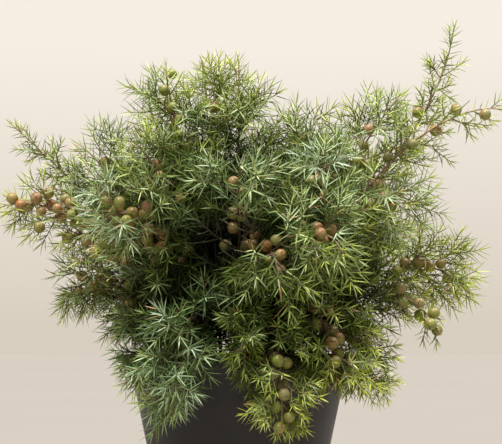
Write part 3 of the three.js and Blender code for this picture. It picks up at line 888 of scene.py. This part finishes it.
@functools.lru_cache(maxsize=None)
def needle_material():
    """Waxy green needles: two pale bands on the upper face, a green rib between them, a yellowish tip."""
    s = bpy.context.scene.juniper_foliage
    material, net = new_material("juniper_needle")
    tone, light, along = net.split("tint")
    dry = net.remap(tone, DRY_TONE, 1.0)
    tone = net.remap(tone, 0.0, DRY_TONE)
    green = net.blend(tone, s.blue_green, s.yellow_green)

    uv = net.nodes.new("ShaderNodeUVMap")
    uv.uv_map = "blade"
    cut = net.nodes.new("ShaderNodeSeparateXYZ")
    net.feed(cut.inputs[0], uv.outputs["UV"])
    from_rib = net.arithmetic("ABSOLUTE", net.arithmetic("SUBTRACT", cut.outputs[0], 0.5), 0.0)
    band = net.remap(from_rib, 0.05, 0.12)
    for share in (
        net.remap(from_rib, 0.36, 0.46, 1.0, 0.0),
        net.remap(along, 0.75, 0.98, s.band_strength, 0.0),
        net.remap(net.noise(900.0), 0.3, 0.7, 0.65, 1.0),
        net.remap(tone, 0.0, 1.0, 1.0, 0.5),
    ):
        band = net.arithmetic("MULTIPLY", band, share)
    green = net.blend(band, green, s.band_colour)
    green = net.blend(net.remap(along, 0.9, 1.0, 0.0, 0.6), green, s.needle_tip)
    green = net.blend(dry, green, s.dry)

    # The light channel is painted shade, multiplied into the colour; red and blue fall faster than green
    # where it is low, as they do under leaves.
    shade = net.colour_of(*(net.arithmetic("POWER", light, power) for power in (1.15, 1.0, 1.6)))
    net.surface({
        "Base Color": net.blend(1.0, green, shade, "MULTIPLY"),
        "Roughness": 0.48,
        "Specular IOR Level": 0.16,
        "Normal": net.bump(band, 0.0001, 0.5),
    })
    return material


@functools.lru_cache(maxsize=None)
def bark_material():
    """Thin red-brown bark on the older wood, with fine cracks along it, and green skin on the youngest."""
    s = bpy.context.scene.juniper_foliage
    material, net = new_material("juniper_bark")
    old, light, _ = net.split("wood")
    grain = net.noise(700.0, 4.0)
    brown = net.blend(net.remap(grain, 0.35, 0.65), s.bark_dark, s.bark_light)
    colour = net.blend(old, s.young_bark, brown)
    net.surface({
        # The light channel is painted shade, multiplied into the colour.
        "Base Color": net.blend(1.0, colour, net.colour_of(light, light, light), "MULTIPLY"),
        "Roughness": 0.62,
        "Normal": net.bump(grain, 0.0006, 0.8),
    })
    return material


@functools.lru_cache(maxsize=None)
def berry_material():
    """Waxy berries from olive to red-brown, with a thin pale bloom that is rubbed off in places."""
    s = bpy.context.scene.juniper_berries
    material, net = new_material("juniper_berry")
    ripe, bloom, mark = net.split("skin")
    ripeness = net.arithmetic("ADD", ripe, net.remap(net.noise(160.0), 0.3, 0.7, -0.35, 0.35))
    colour = net.blend(net.remap(ripeness, 0.0, 0.5), s.olive, s.tan)
    colour = net.blend(net.remap(ripeness, 0.5, 1.0), colour, s.red_brown)
    wax = net.arithmetic("MULTIPLY", net.remap(net.noise(260.0, 5.0), 0.35, 0.62), bloom)
    colour = net.blend(wax, colour, s.bloom)
    net.surface({
        # The grooves and the dimple at the far end get painted shade from the mark.
        "Base Color": net.blend(net.remap(mark, 0.35, 0.9, 0.0, 0.55), colour, s.groove),
        "Roughness": net.remap(wax, 0.0, 1.0, 0.34, 0.62),
        "Normal": net.bump(net.noise(1500.0, 2.0), 0.0002, 0.35),
    })
    return material


@functools.lru_cache(maxsize=None)
def pot_material():
    """Dark moulded plastic with a soft sheen, a fine grain and a little dust."""
    s = bpy.context.scene.juniper_pot
    material, net = new_material("dark_plastic")
    net.surface({
        "Base Color": net.blend(net.remap(net.noise(14.0, 6.0), 0.42, 0.75, 0.0, 0.35), s.colour, s.dust),
        "Roughness": net.remap(net.noise(40.0, 4.0), 0.3, 0.7, 0.4, 0.52),
        "Normal": net.bump(net.noise(1800.0, 2.0), 0.00015, 0.5),
    })
    return material


@functools.lru_cache(maxsize=None)
def water_material():
    """Clear water with a faint green-brown tinge, slightly clouded where leaf dust floats."""
    s = bpy.context.scene.juniper_pot
    material, net = new_material("pot_water")
    net.surface({
        "Base Color": net.blend(net.remap(net.noise(30.0, 4.0), 0.35, 0.7), s.water, s.clear_water),
        "Transmission Weight": 1.0,
        "IOR": 1.333,
        "Roughness": 0.03,
        "Normal": net.bump(net.noise(22.0, 2.0), 0.0005, 0.3),
    })
    return material


@functools.lru_cache(maxsize=None)
def floor_material():
    """A matt pale floor, very slightly uneven in tone."""
    pale = bpy.context.scene.juniper_stage.floor_colour
    material, net = new_material("pale_floor")
    net.surface({
        "Base Color": net.blend(net.remap(net.noise(1.5, 2.0), 0.3, 0.7), pale, [0.97 * c for c in pale]),
        "Roughness": 0.8,
    })
    return material


# Settings


def length_setting(name, description, default):
    """A length that the user can change, in metres."""
    return bpy.props.FloatProperty(name=name, description=description, default=default, unit="LENGTH")


def colour_setting(name, description, default):
    """A colour that the user can change."""
    return bpy.props.FloatVectorProperty(
        name=name, description=description, default=default, subtype="COLOR", size=3
    )


class PotSettings(bpy.types.PropertyGroup):
    """Sizes and colours of the pot and its water."""

    height: length_setting("Height", "Base to rim", POT_HEIGHT * MM)
    rim: length_setting("Rim radius", "Outside of the lip", RIM_RADIUS * MM)
    top: length_setting("Wall radius", "Wall at the rim", WALL_TOP_RADIUS * MM)
    base: length_setting("Base radius", "Foot of the wall", BASE_RADIUS * MM)
    wall: length_setting("Wall", "Thickness of the wall", WALL * MM)
    lip: length_setting("Lip", "Height of the lip", LIP_HEIGHT * MM)
    level: length_setting("Water level", "Above the floor", WATER_LEVEL * MM)
    colour: colour_setting("Colour", "Plastic", (0.0075, 0.0065, 0.006))
    dust: colour_setting("Dust", "On the plastic", (0.02, 0.018, 0.016))
    water: colour_setting("Water", "Where it is clouded", (0.62, 0.68, 0.58))
    clear_water: colour_setting("Clear water", "Elsewhere", (0.78, 0.82, 0.74))


class FoliageSettings(bpy.types.PropertyGroup):
    """Sizes and colours of the stems, shoots and needles."""

    shoot_length: length_setting("Shoot length", "Leading side shoots", 0.058)
    side_length: length_setting("Side length", "Shoots on the leading ones", 0.034)
    side_shoots: bpy.props.IntProperty(
        name="Side shoots", description="On each leading shoot", default=7, min=1
    )
    tufts: bpy.props.IntProperty(name="Tufts", description="Short shoots on each stem", default=30, min=1)
    whorl_step: length_setting("Whorl step", "Between whorls of needles", 0.004)
    needle_length: length_setting("Needle length", "A typical needle", 0.018)
    needle_width: length_setting("Needle width", "Widest part", 0.0011)
    lean_degrees: bpy.props.FloatProperty(
        name="Needle lean", description="Degrees from the shoot's own direction", default=66.0
    )
    blue_green: colour_setting("Blue-green", "Coolest", (0.14, 0.225, 0.065))
    yellow_green: colour_setting("Yellow-green", "Warmest", (0.285, 0.345, 0.022))
    band_strength: bpy.props.FloatProperty(
        name="Band strength", description="How much they cover", default=0.6, subtype="FACTOR", min=0, max=1
    )
    band_colour: colour_setting("Bands", "On the upper face", (0.48, 0.60, 0.40))
    needle_tip: colour_setting("Needle tip", "Its sharp end", (0.33, 0.29, 0.09))
    dry: colour_setting("Dry", "Dead needles", (0.28, 0.19, 0.08))
    young_bark: colour_setting("Young bark", "Shoots' ends", (0.17, 0.19, 0.05))
    bark_dark: colour_setting("Dark bark", "In the cracks", (0.22, 0.12, 0.075))
    bark_light: colour_setting("Light bark", "On the ridges", (0.52, 0.36, 0.23))


class BerrySettings(bpy.types.PropertyGroup):
    """Size and colours of the berries."""

    radius: length_setting("Radius", "A full-grown berry", 0.005)
    olive: colour_setting("Olive", "Unripe", (0.26, 0.31, 0.04))
    tan: colour_setting("Tan", "Half ripe", (0.38, 0.27, 0.08))
    red_brown: colour_setting("Red-brown", "Ripe", (0.43, 0.17, 0.045))
    bloom: colour_setting("Bloom", "Pale wax", (0.36, 0.33, 0.25))
    # Painted shade in the grooves at the far end.
    groove: colour_setting("Groove", "At the far end", (0.07, 0.04, 0.02))


class StageSettings(bpy.types.PropertyGroup):
    """Light, floor and camera."""

    distance: length_setting("Distance", "Camera to axis", 1.25)
    eye: length_setting("Eye height", "Camera above the floor", 0.205)
    aim_x: length_setting("Aim x", "Centre of the picture", 0.011)
    aim_z: length_setting("Aim z", "Centre of the picture", 0.299)
    width: length_setting("Width", "Seen at the axis", 0.452)
    floor_colour: colour_setting("Floor", "Pale floor", (0.312, 0.275, 0.238))
    backdrop: colour_setting("Backdrop", "Upper background", (0.93, 0.86, 0.77))
    horizon: colour_setting("Horizon", "Lower background", (0.69, 0.62, 0.53))
    ambient_colour: colour_setting("Ambient colour", "All round", (0.87, 0.87, 0.86))
    ambient: bpy.props.FloatProperty(name="Ambient", description="Soft light all round", default=0.2)
    key: bpy.props.FloatProperty(name="Key", description="Main light, from the upper left", default=4.8)
    top: bpy.props.FloatProperty(name="Top", description="Second light, from above", default=2.4)


# Operators


class JUNIPER_OT_pot(bpy.types.Operator):
    """Turn the pot's wall, lip and base as one closed profile"""

    bl_idname = "juniper.pot"
    bl_label = "Pot"

    def execute(self, context):
        s = context.scene.juniper_pot
        height, rim, top, base, wall, lip = (v / MM for v in (s.height, s.rim, s.top, s.base, s.wall, s.lip))
        under = height - lip

        def wall_at(z):
            return lerp(base, top, z / height)

        def corner(centre, radius, start, end, steps=5):
            """Points of an arc from one angle to another, in degrees."""
            angle = np.radians(np.linspace(start, end, steps))
            return np.stack([centre[0] + radius * np.cos(angle), centre[1] + radius * np.sin(angle)], axis=-1)

        # A base pressed in a little, the outside up to the lip, the lip, and the inside down to the floor.
        profile = np.concatenate([
            [[0, 1.2], [base - 9, 1.2], [base - 7.5, 0.0]],
            corner((base - 2, 2), 2.0, -90, -12),
            [[wall_at(z), z] for z in np.linspace(12, under - 1.6, 8)],
            corner((wall_at(under) + 1.4, under - 1.4), 1.4, 180, 90, 4),
            corner((rim - 1.6, under + 1.6), 1.6, -90, 0),
            corner((rim - 1.6, height - 1.6), 1.6, 0, 90),
            corner((top - wall + 1.4, height - 1.4), 1.4, 90, 180),
            [[wall_at(z) - wall, z] for z in np.linspace(height - 8, wall + 6, 8)],
            corner((base - wall - 3, wall + 3), 3.0, 0, -90),
            [[0, wall]],
        ])
        points, faces = lathe(profile, 160)
        piece = put_mesh("pot_shell", points, faces, pot_material())
        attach(piece, "root")
        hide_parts("pot")
        return {"FINISHED"}


class JUNIPER_OT_water(bpy.types.Operator):
    """Fill the pot with water up to its level, with a rim that climbs the wall a little"""

    bl_idname = "juniper.water"
    bl_label = "Water"

    def execute(self, context):
        s = context.scene.juniper_pot
        height, top, base, wall, level = (v / MM for v in (s.height, s.top, s.base, s.wall, s.level))
        climb = 1.2
        floor = wall + 0.35

        def inner(z):
            return lerp(base, top, z / height) - wall - 0.5

        # The climb falls off with the distance in from the wall, as an exponential.
        surface = [
            (inner(level) - inwards, level + climb * math.exp(-inwards / 1.6))
            for inwards in (0.4, 1.2, 2.4, 4.0, 7.0)
        ]
        profile = [
            (0, floor), (inner(wall) - 3.2, floor), (inner(8), 8), (inner(level + climb), level + climb),
            *surface, (0, level),
        ]
        points, faces = lathe(profile, 96)
        piece = put_mesh("pot_water", points, faces, water_material())
        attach(piece, "root")
        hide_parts("water")
        return {"FINISHED"}


def stem_tube(stem, k):
    """A stem as one tube: straight up to its neck, then along its curve, faintly knotted and ever thinner."""
    s = np.linspace(0, stem.length, 30)
    below = lerp(stem.foot, stem.point(0.0), np.linspace(0, 0.96, 8)[:, None])
    path = np.concatenate([below, stem.point(s)])
    knots = 1 + 0.07 * np.sin(np.arange(len(path)) * 1.9 + k)
    thick = np.concatenate([np.full(len(below), WOOD_RADII[0]), lerp(*WOOD_RADII, s / stem.length)])
    return tubes(path[None], (thick * knots)[None], 8)


class JUNIPER_OT_wood(bpy.types.Operator):
    """Grow each sprig's stem and shoots as tapered round tubes along their curves"""

    bl_idname = "juniper.wood"
    bl_label = "Stems and shoots"

    def execute(self, context):
        for k in range(len(SPRIGS)):
            layout = sprig_layout(k)
            parts = [stem_tube(layout.stem, k)]
            age = [np.ones(len(parts[0][0]))]
            for code, kind in enumerate(SHOOT_KINDS):
                own = layout.kind == code
                if not own.any():
                    continue
                share = np.tile(np.linspace(0, 1, kind.rings), (own.sum(), 1))
                size = np.tile(np.linspace(*kind.radii, kind.rings), (own.sum(), 1))
                parts.append(tubes(quadratic(layout.curves[own], share), size, kind.sides))
                root, end = kind.age, 0.4 * kind.age
                fade = np.repeat(np.linspace(root, end, kind.rings), kind.sides)
                age.append(np.tile(np.concatenate([fade, [root, end]]), own.sum()))
            points, faces = joined(parts)
            # Painted shade on the wood: darker deeper in the bush, as the cube of its outerness, times a draw
            # for each sprig.
            light = (0.9 + 0.25 * draws(k, 3, 9)) * (0.08 + 0.92 * outerness(points) ** 3)
            piece = put_mesh(
                f"wood_{k + 1:02d}", points, faces, bark_material(),
                colours={"wood": np.stack([np.concatenate(age), light, light], axis=-1)},
            )
            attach(piece, "root")
            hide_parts(f"sprig_{k + 1:02d}")
        return {"FINISHED"}


class JUNIPER_OT_needles(bpy.types.Operator):
    """Set the needles on every shoot, in whorls of three"""

    bl_idname = "juniper.needles"
    bl_label = "Needles"

    def execute(self, context):
        s = context.scene.juniper_foliage
        for k in range(len(SPRIGS)):
            layout = sprig_layout(k)
            needles = needles_of(layout, k)
            tone, light = needle_looks(needles, layout.row, k)
            count = len(tone)
            n = np.arange(count)
            width = s.needle_width / MM * lerp(*WIDTH_SPREAD, draws(n, k, 5))
            blades = (needles.root, needles.heading, needles.up, needles.length, width)
            grid = math.ceil(math.sqrt(count))
            cell = np.stack([n % grid, n // grid], axis=-1) / grid

            points, faces, blade, own, tint = [], [[], []], [[], []], [[], []], []
            shift = 0
            for grade, these in ((FINE, needles.outer > FINE_FROM), (PLAIN, needles.outer <= FINE_FROM)):
                corners = len(grade.along)
                points.append(needle_blades(grade, *(a[these] for a in blades)).reshape(-1, 3))
                first = (shift + corners * np.arange(these.sum()))[:, None, None]
                shift += len(points[-1])
                for kind, own_faces in enumerate((grade.quads, grade.tris)):
                    faces[kind].append((own_faces + first).reshape(-1, own_faces.shape[1]))
                    maps = needle_maps(grade, own_faces, cell[these], grid)
                    blade[kind].append(maps[0])
                    own[kind].append(maps[1])
                # Each needle's tone, its painted light and shade, and the share along it.
                tint.append(np.stack([
                    np.repeat(tone[these], corners),
                    np.repeat(light[these], corners),
                    np.tile(grade.along, these.sum()),
                ], axis=-1))
            piece = put_mesh(
                f"needles_{k + 1:02d}", np.concatenate(points), [np.concatenate(f) for f in faces],
                needle_material(),
                uvs={"blade": np.concatenate(blade[0] + blade[1]), "OFBake": np.concatenate(own[0] + own[1])},
                colours={"tint": np.concatenate(tint)},
            )
            piece.data.polygons.foreach_set("use_smooth", np.zeros(len(piece.data.polygons), bool))
            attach(piece, "root")
            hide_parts(f"sprig_{k + 1:02d}")
        return {"FINISHED"}


class JUNIPER_OT_berries(bpy.types.Operator):
    """Seat the berries close against their stems"""

    bl_idname = "juniper.berries"
    bl_label = "Berries"

    def execute(self, context):
        s = context.scene.juniper_berries
        shape, quads, fans, mark = berry_shape(8, 12)
        for k in range(len(SPRIGS)):
            layout = sprig_layout(k)
            count = len(layout.berries)
            if not count:
                continue
            n = np.arange(count)
            radius = s.radius / MM * lerp(*BERRY_SPREAD, draws(n, k, 21))
            side, rise = any_square(layout.berry_headings)
            across = around(side, rise, BERRY_TURN * draws(n, k, 22))
            axes = np.stack(
                [across, np.cross(layout.berry_headings, across), layout.berry_headings], axis=1
            )
            turned = shape[None] @ axes
            points = layout.berries[:, None] + radius[:, None, None] * turned
            shift = (n * len(shape))[:, None, None]

            # Each berry is riper on one side of its own, the one that the sun reached.
            sunny = unit(np.stack([draws(n, k, 25) - 0.5, draws(n, k, 26) - 0.5, draws(n, k, 27)], axis=-1))
            ripe = layout.row.ripe + RIPE_DRAW * (draws(n, k, 23) - 0.5)
            ripe = ripe[:, None] + SUNNY_RIPER * (turned @ sunny[:, :, None])[..., 0]
            bloom = lerp(*BLOOM_SPREAD, draws(n, k, 24) ** 2)
            skin = np.stack([
                np.clip(ripe, 0, 1).ravel(),
                np.repeat(bloom, len(shape)),
                np.tile(mark, count),
            ], axis=-1)
            piece = put_mesh(
                f"berries_{k + 1:02d}", points.reshape(-1, 3),
                [(quads + shift).reshape(-1, 4), (fans + shift).reshape(-1, 3)],
                berry_material(), colours={"skin": skin},
            )
            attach(piece, "root")
            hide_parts(f"sprig_{k + 1:02d}")
        return {"FINISHED"}


def soft_world(s):
    """A world that lights evenly with one colour, and shows the camera a backdrop that pales upwards."""
    world = bpy.data.worlds.new("soft_light")
    world.use_nodes = True
    net = Net(world.node_tree)
    soft = net.first("BACKGROUND")
    net.feed(soft.inputs["Color"], s.ambient_colour)
    net.feed(soft.inputs["Strength"], s.ambient)
    seen = net.nodes.new("ShaderNodeBackground")
    parts = net.nodes.new("ShaderNodeSeparateXYZ")
    net.feed(parts.inputs[0], net.nodes.new("ShaderNodeTexCoord").outputs["Generated"])
    net.feed(seen.inputs["Color"], net.blend(net.remap(parts.outputs[2], 0.0, 0.2), s.horizon, s.backdrop))
    both = net.nodes.new("ShaderNodeMixShader")
    net.feed(both.inputs[0], net.nodes.new("ShaderNodeLightPath").outputs["Is Camera Ray"])
    net.feed(both.inputs[1], soft.outputs[0])
    net.feed(both.inputs[2], seen.outputs[0])
    net.feed(net.first("OUTPUT_WORLD").inputs["Surface"], both.outputs[0])
    return world


class JUNIPER_OT_stage(bpy.types.Operator):
    """Set a pale floor, soft studio light and the camera"""

    bl_idname = "juniper.stage"
    bl_label = "Stage"

    def execute(self, context):
        s = context.scene.juniper_stage
        turn = 2 * np.pi * np.arange(96) / 96
        disc = np.stack([np.cos(turn), np.sin(turn), 0 * turn], axis=-1) * FLOOR_RADIUS
        floor = put_mesh("floor", disc, [np.arange(96)[None]], floor_material())
        context.scene.world = soft_world(s)

        # Each light's name, the way to it, its softness in degrees and its power.
        for name, way, spread, power in (
            ("key", (-0.22, -0.45, 1.25), 22.0, s.key),
            ("top", (0.5, 0.2, 1.0), 30.0, s.top),
        ):
            light = bpy.data.lights.new(name, "SUN")
            light.energy = power
            light.angle = math.radians(spread)
            lamp = bpy.data.objects.new(name, light)
            lamp.rotation_euler = (-Vector(way)).to_track_quat("-Z", "Y").to_euler()
            context.scene.collection.objects.link(lamp)

        camera = bpy.data.objects.new("camera", bpy.data.cameras.new("camera"))
        place = Vector((s.aim_x, -s.distance, s.eye))
        aim = Vector((s.aim_x, 0.0, s.aim_z))
        camera.location = place
        camera.rotation_euler = (aim - place).to_track_quat("-Z", "Y").to_euler()
        camera.data.sensor_width = SENSOR_WIDTH
        camera.data.lens = SENSOR_WIDTH * (aim - place).length / s.width
        context.scene.collection.objects.link(camera)
        context.scene.camera = camera
        context.scene.view_settings.view_transform = "Standard"
        return {"FINISHED"}


class JUNIPER_PT_panel(bpy.types.Panel):
    """Lists the pieces of the potted sprigs"""

    bl_idname = "JUNIPER_PT_panel"
    bl_label = "Potted Juniper"
    bl_space_type = "VIEW_3D"
    bl_region_type = "UI"
    bl_category = "Juniper"

    def draw(self, context):
        for group in ("juniper_pot", "juniper_foliage", "juniper_berries", "juniper_stage"):
            box = self.layout.box()
            settings = getattr(context.scene, group)
            for name in settings.__annotations__:
                box.prop(settings, name)
        for operator in OPERATORS:
            self.layout.operator(operator.bl_idname)


SETTINGS = {
    "juniper_pot": PotSettings,
    "juniper_foliage": FoliageSettings,
    "juniper_berries": BerrySettings,
    "juniper_stage": StageSettings,
}
OPERATORS = (
    JUNIPER_OT_stage,
    JUNIPER_OT_pot,
    JUNIPER_OT_water,
    JUNIPER_OT_wood,
    JUNIPER_OT_needles,
    JUNIPER_OT_berries,
)


def register():
    for cls in (*SETTINGS.values(), *OPERATORS, JUNIPER_PT_panel):
        bpy.utils.register_class(cls)
    for name, cls in SETTINGS.items():
        setattr(bpy.types.Scene, name, bpy.props.PointerProperty(type=cls))


def unregister():
    for name in SETTINGS:
        delattr(bpy.types.Scene, name)
    for cls in (JUNIPER_PT_panel, *reversed(OPERATORS), *reversed(SETTINGS.values())):
        bpy.utils.unregister_class(cls)


def main():
    """Build every piece in order."""
    register()
    bpy.ops.juniper.stage()
    bpy.ops.juniper.pot()
    bpy.ops.juniper.water()
    bpy.ops.juniper.wood()
    bpy.ops.juniper.needles()
    bpy.ops.juniper.berries()


if __name__ == "__main__":
    main()
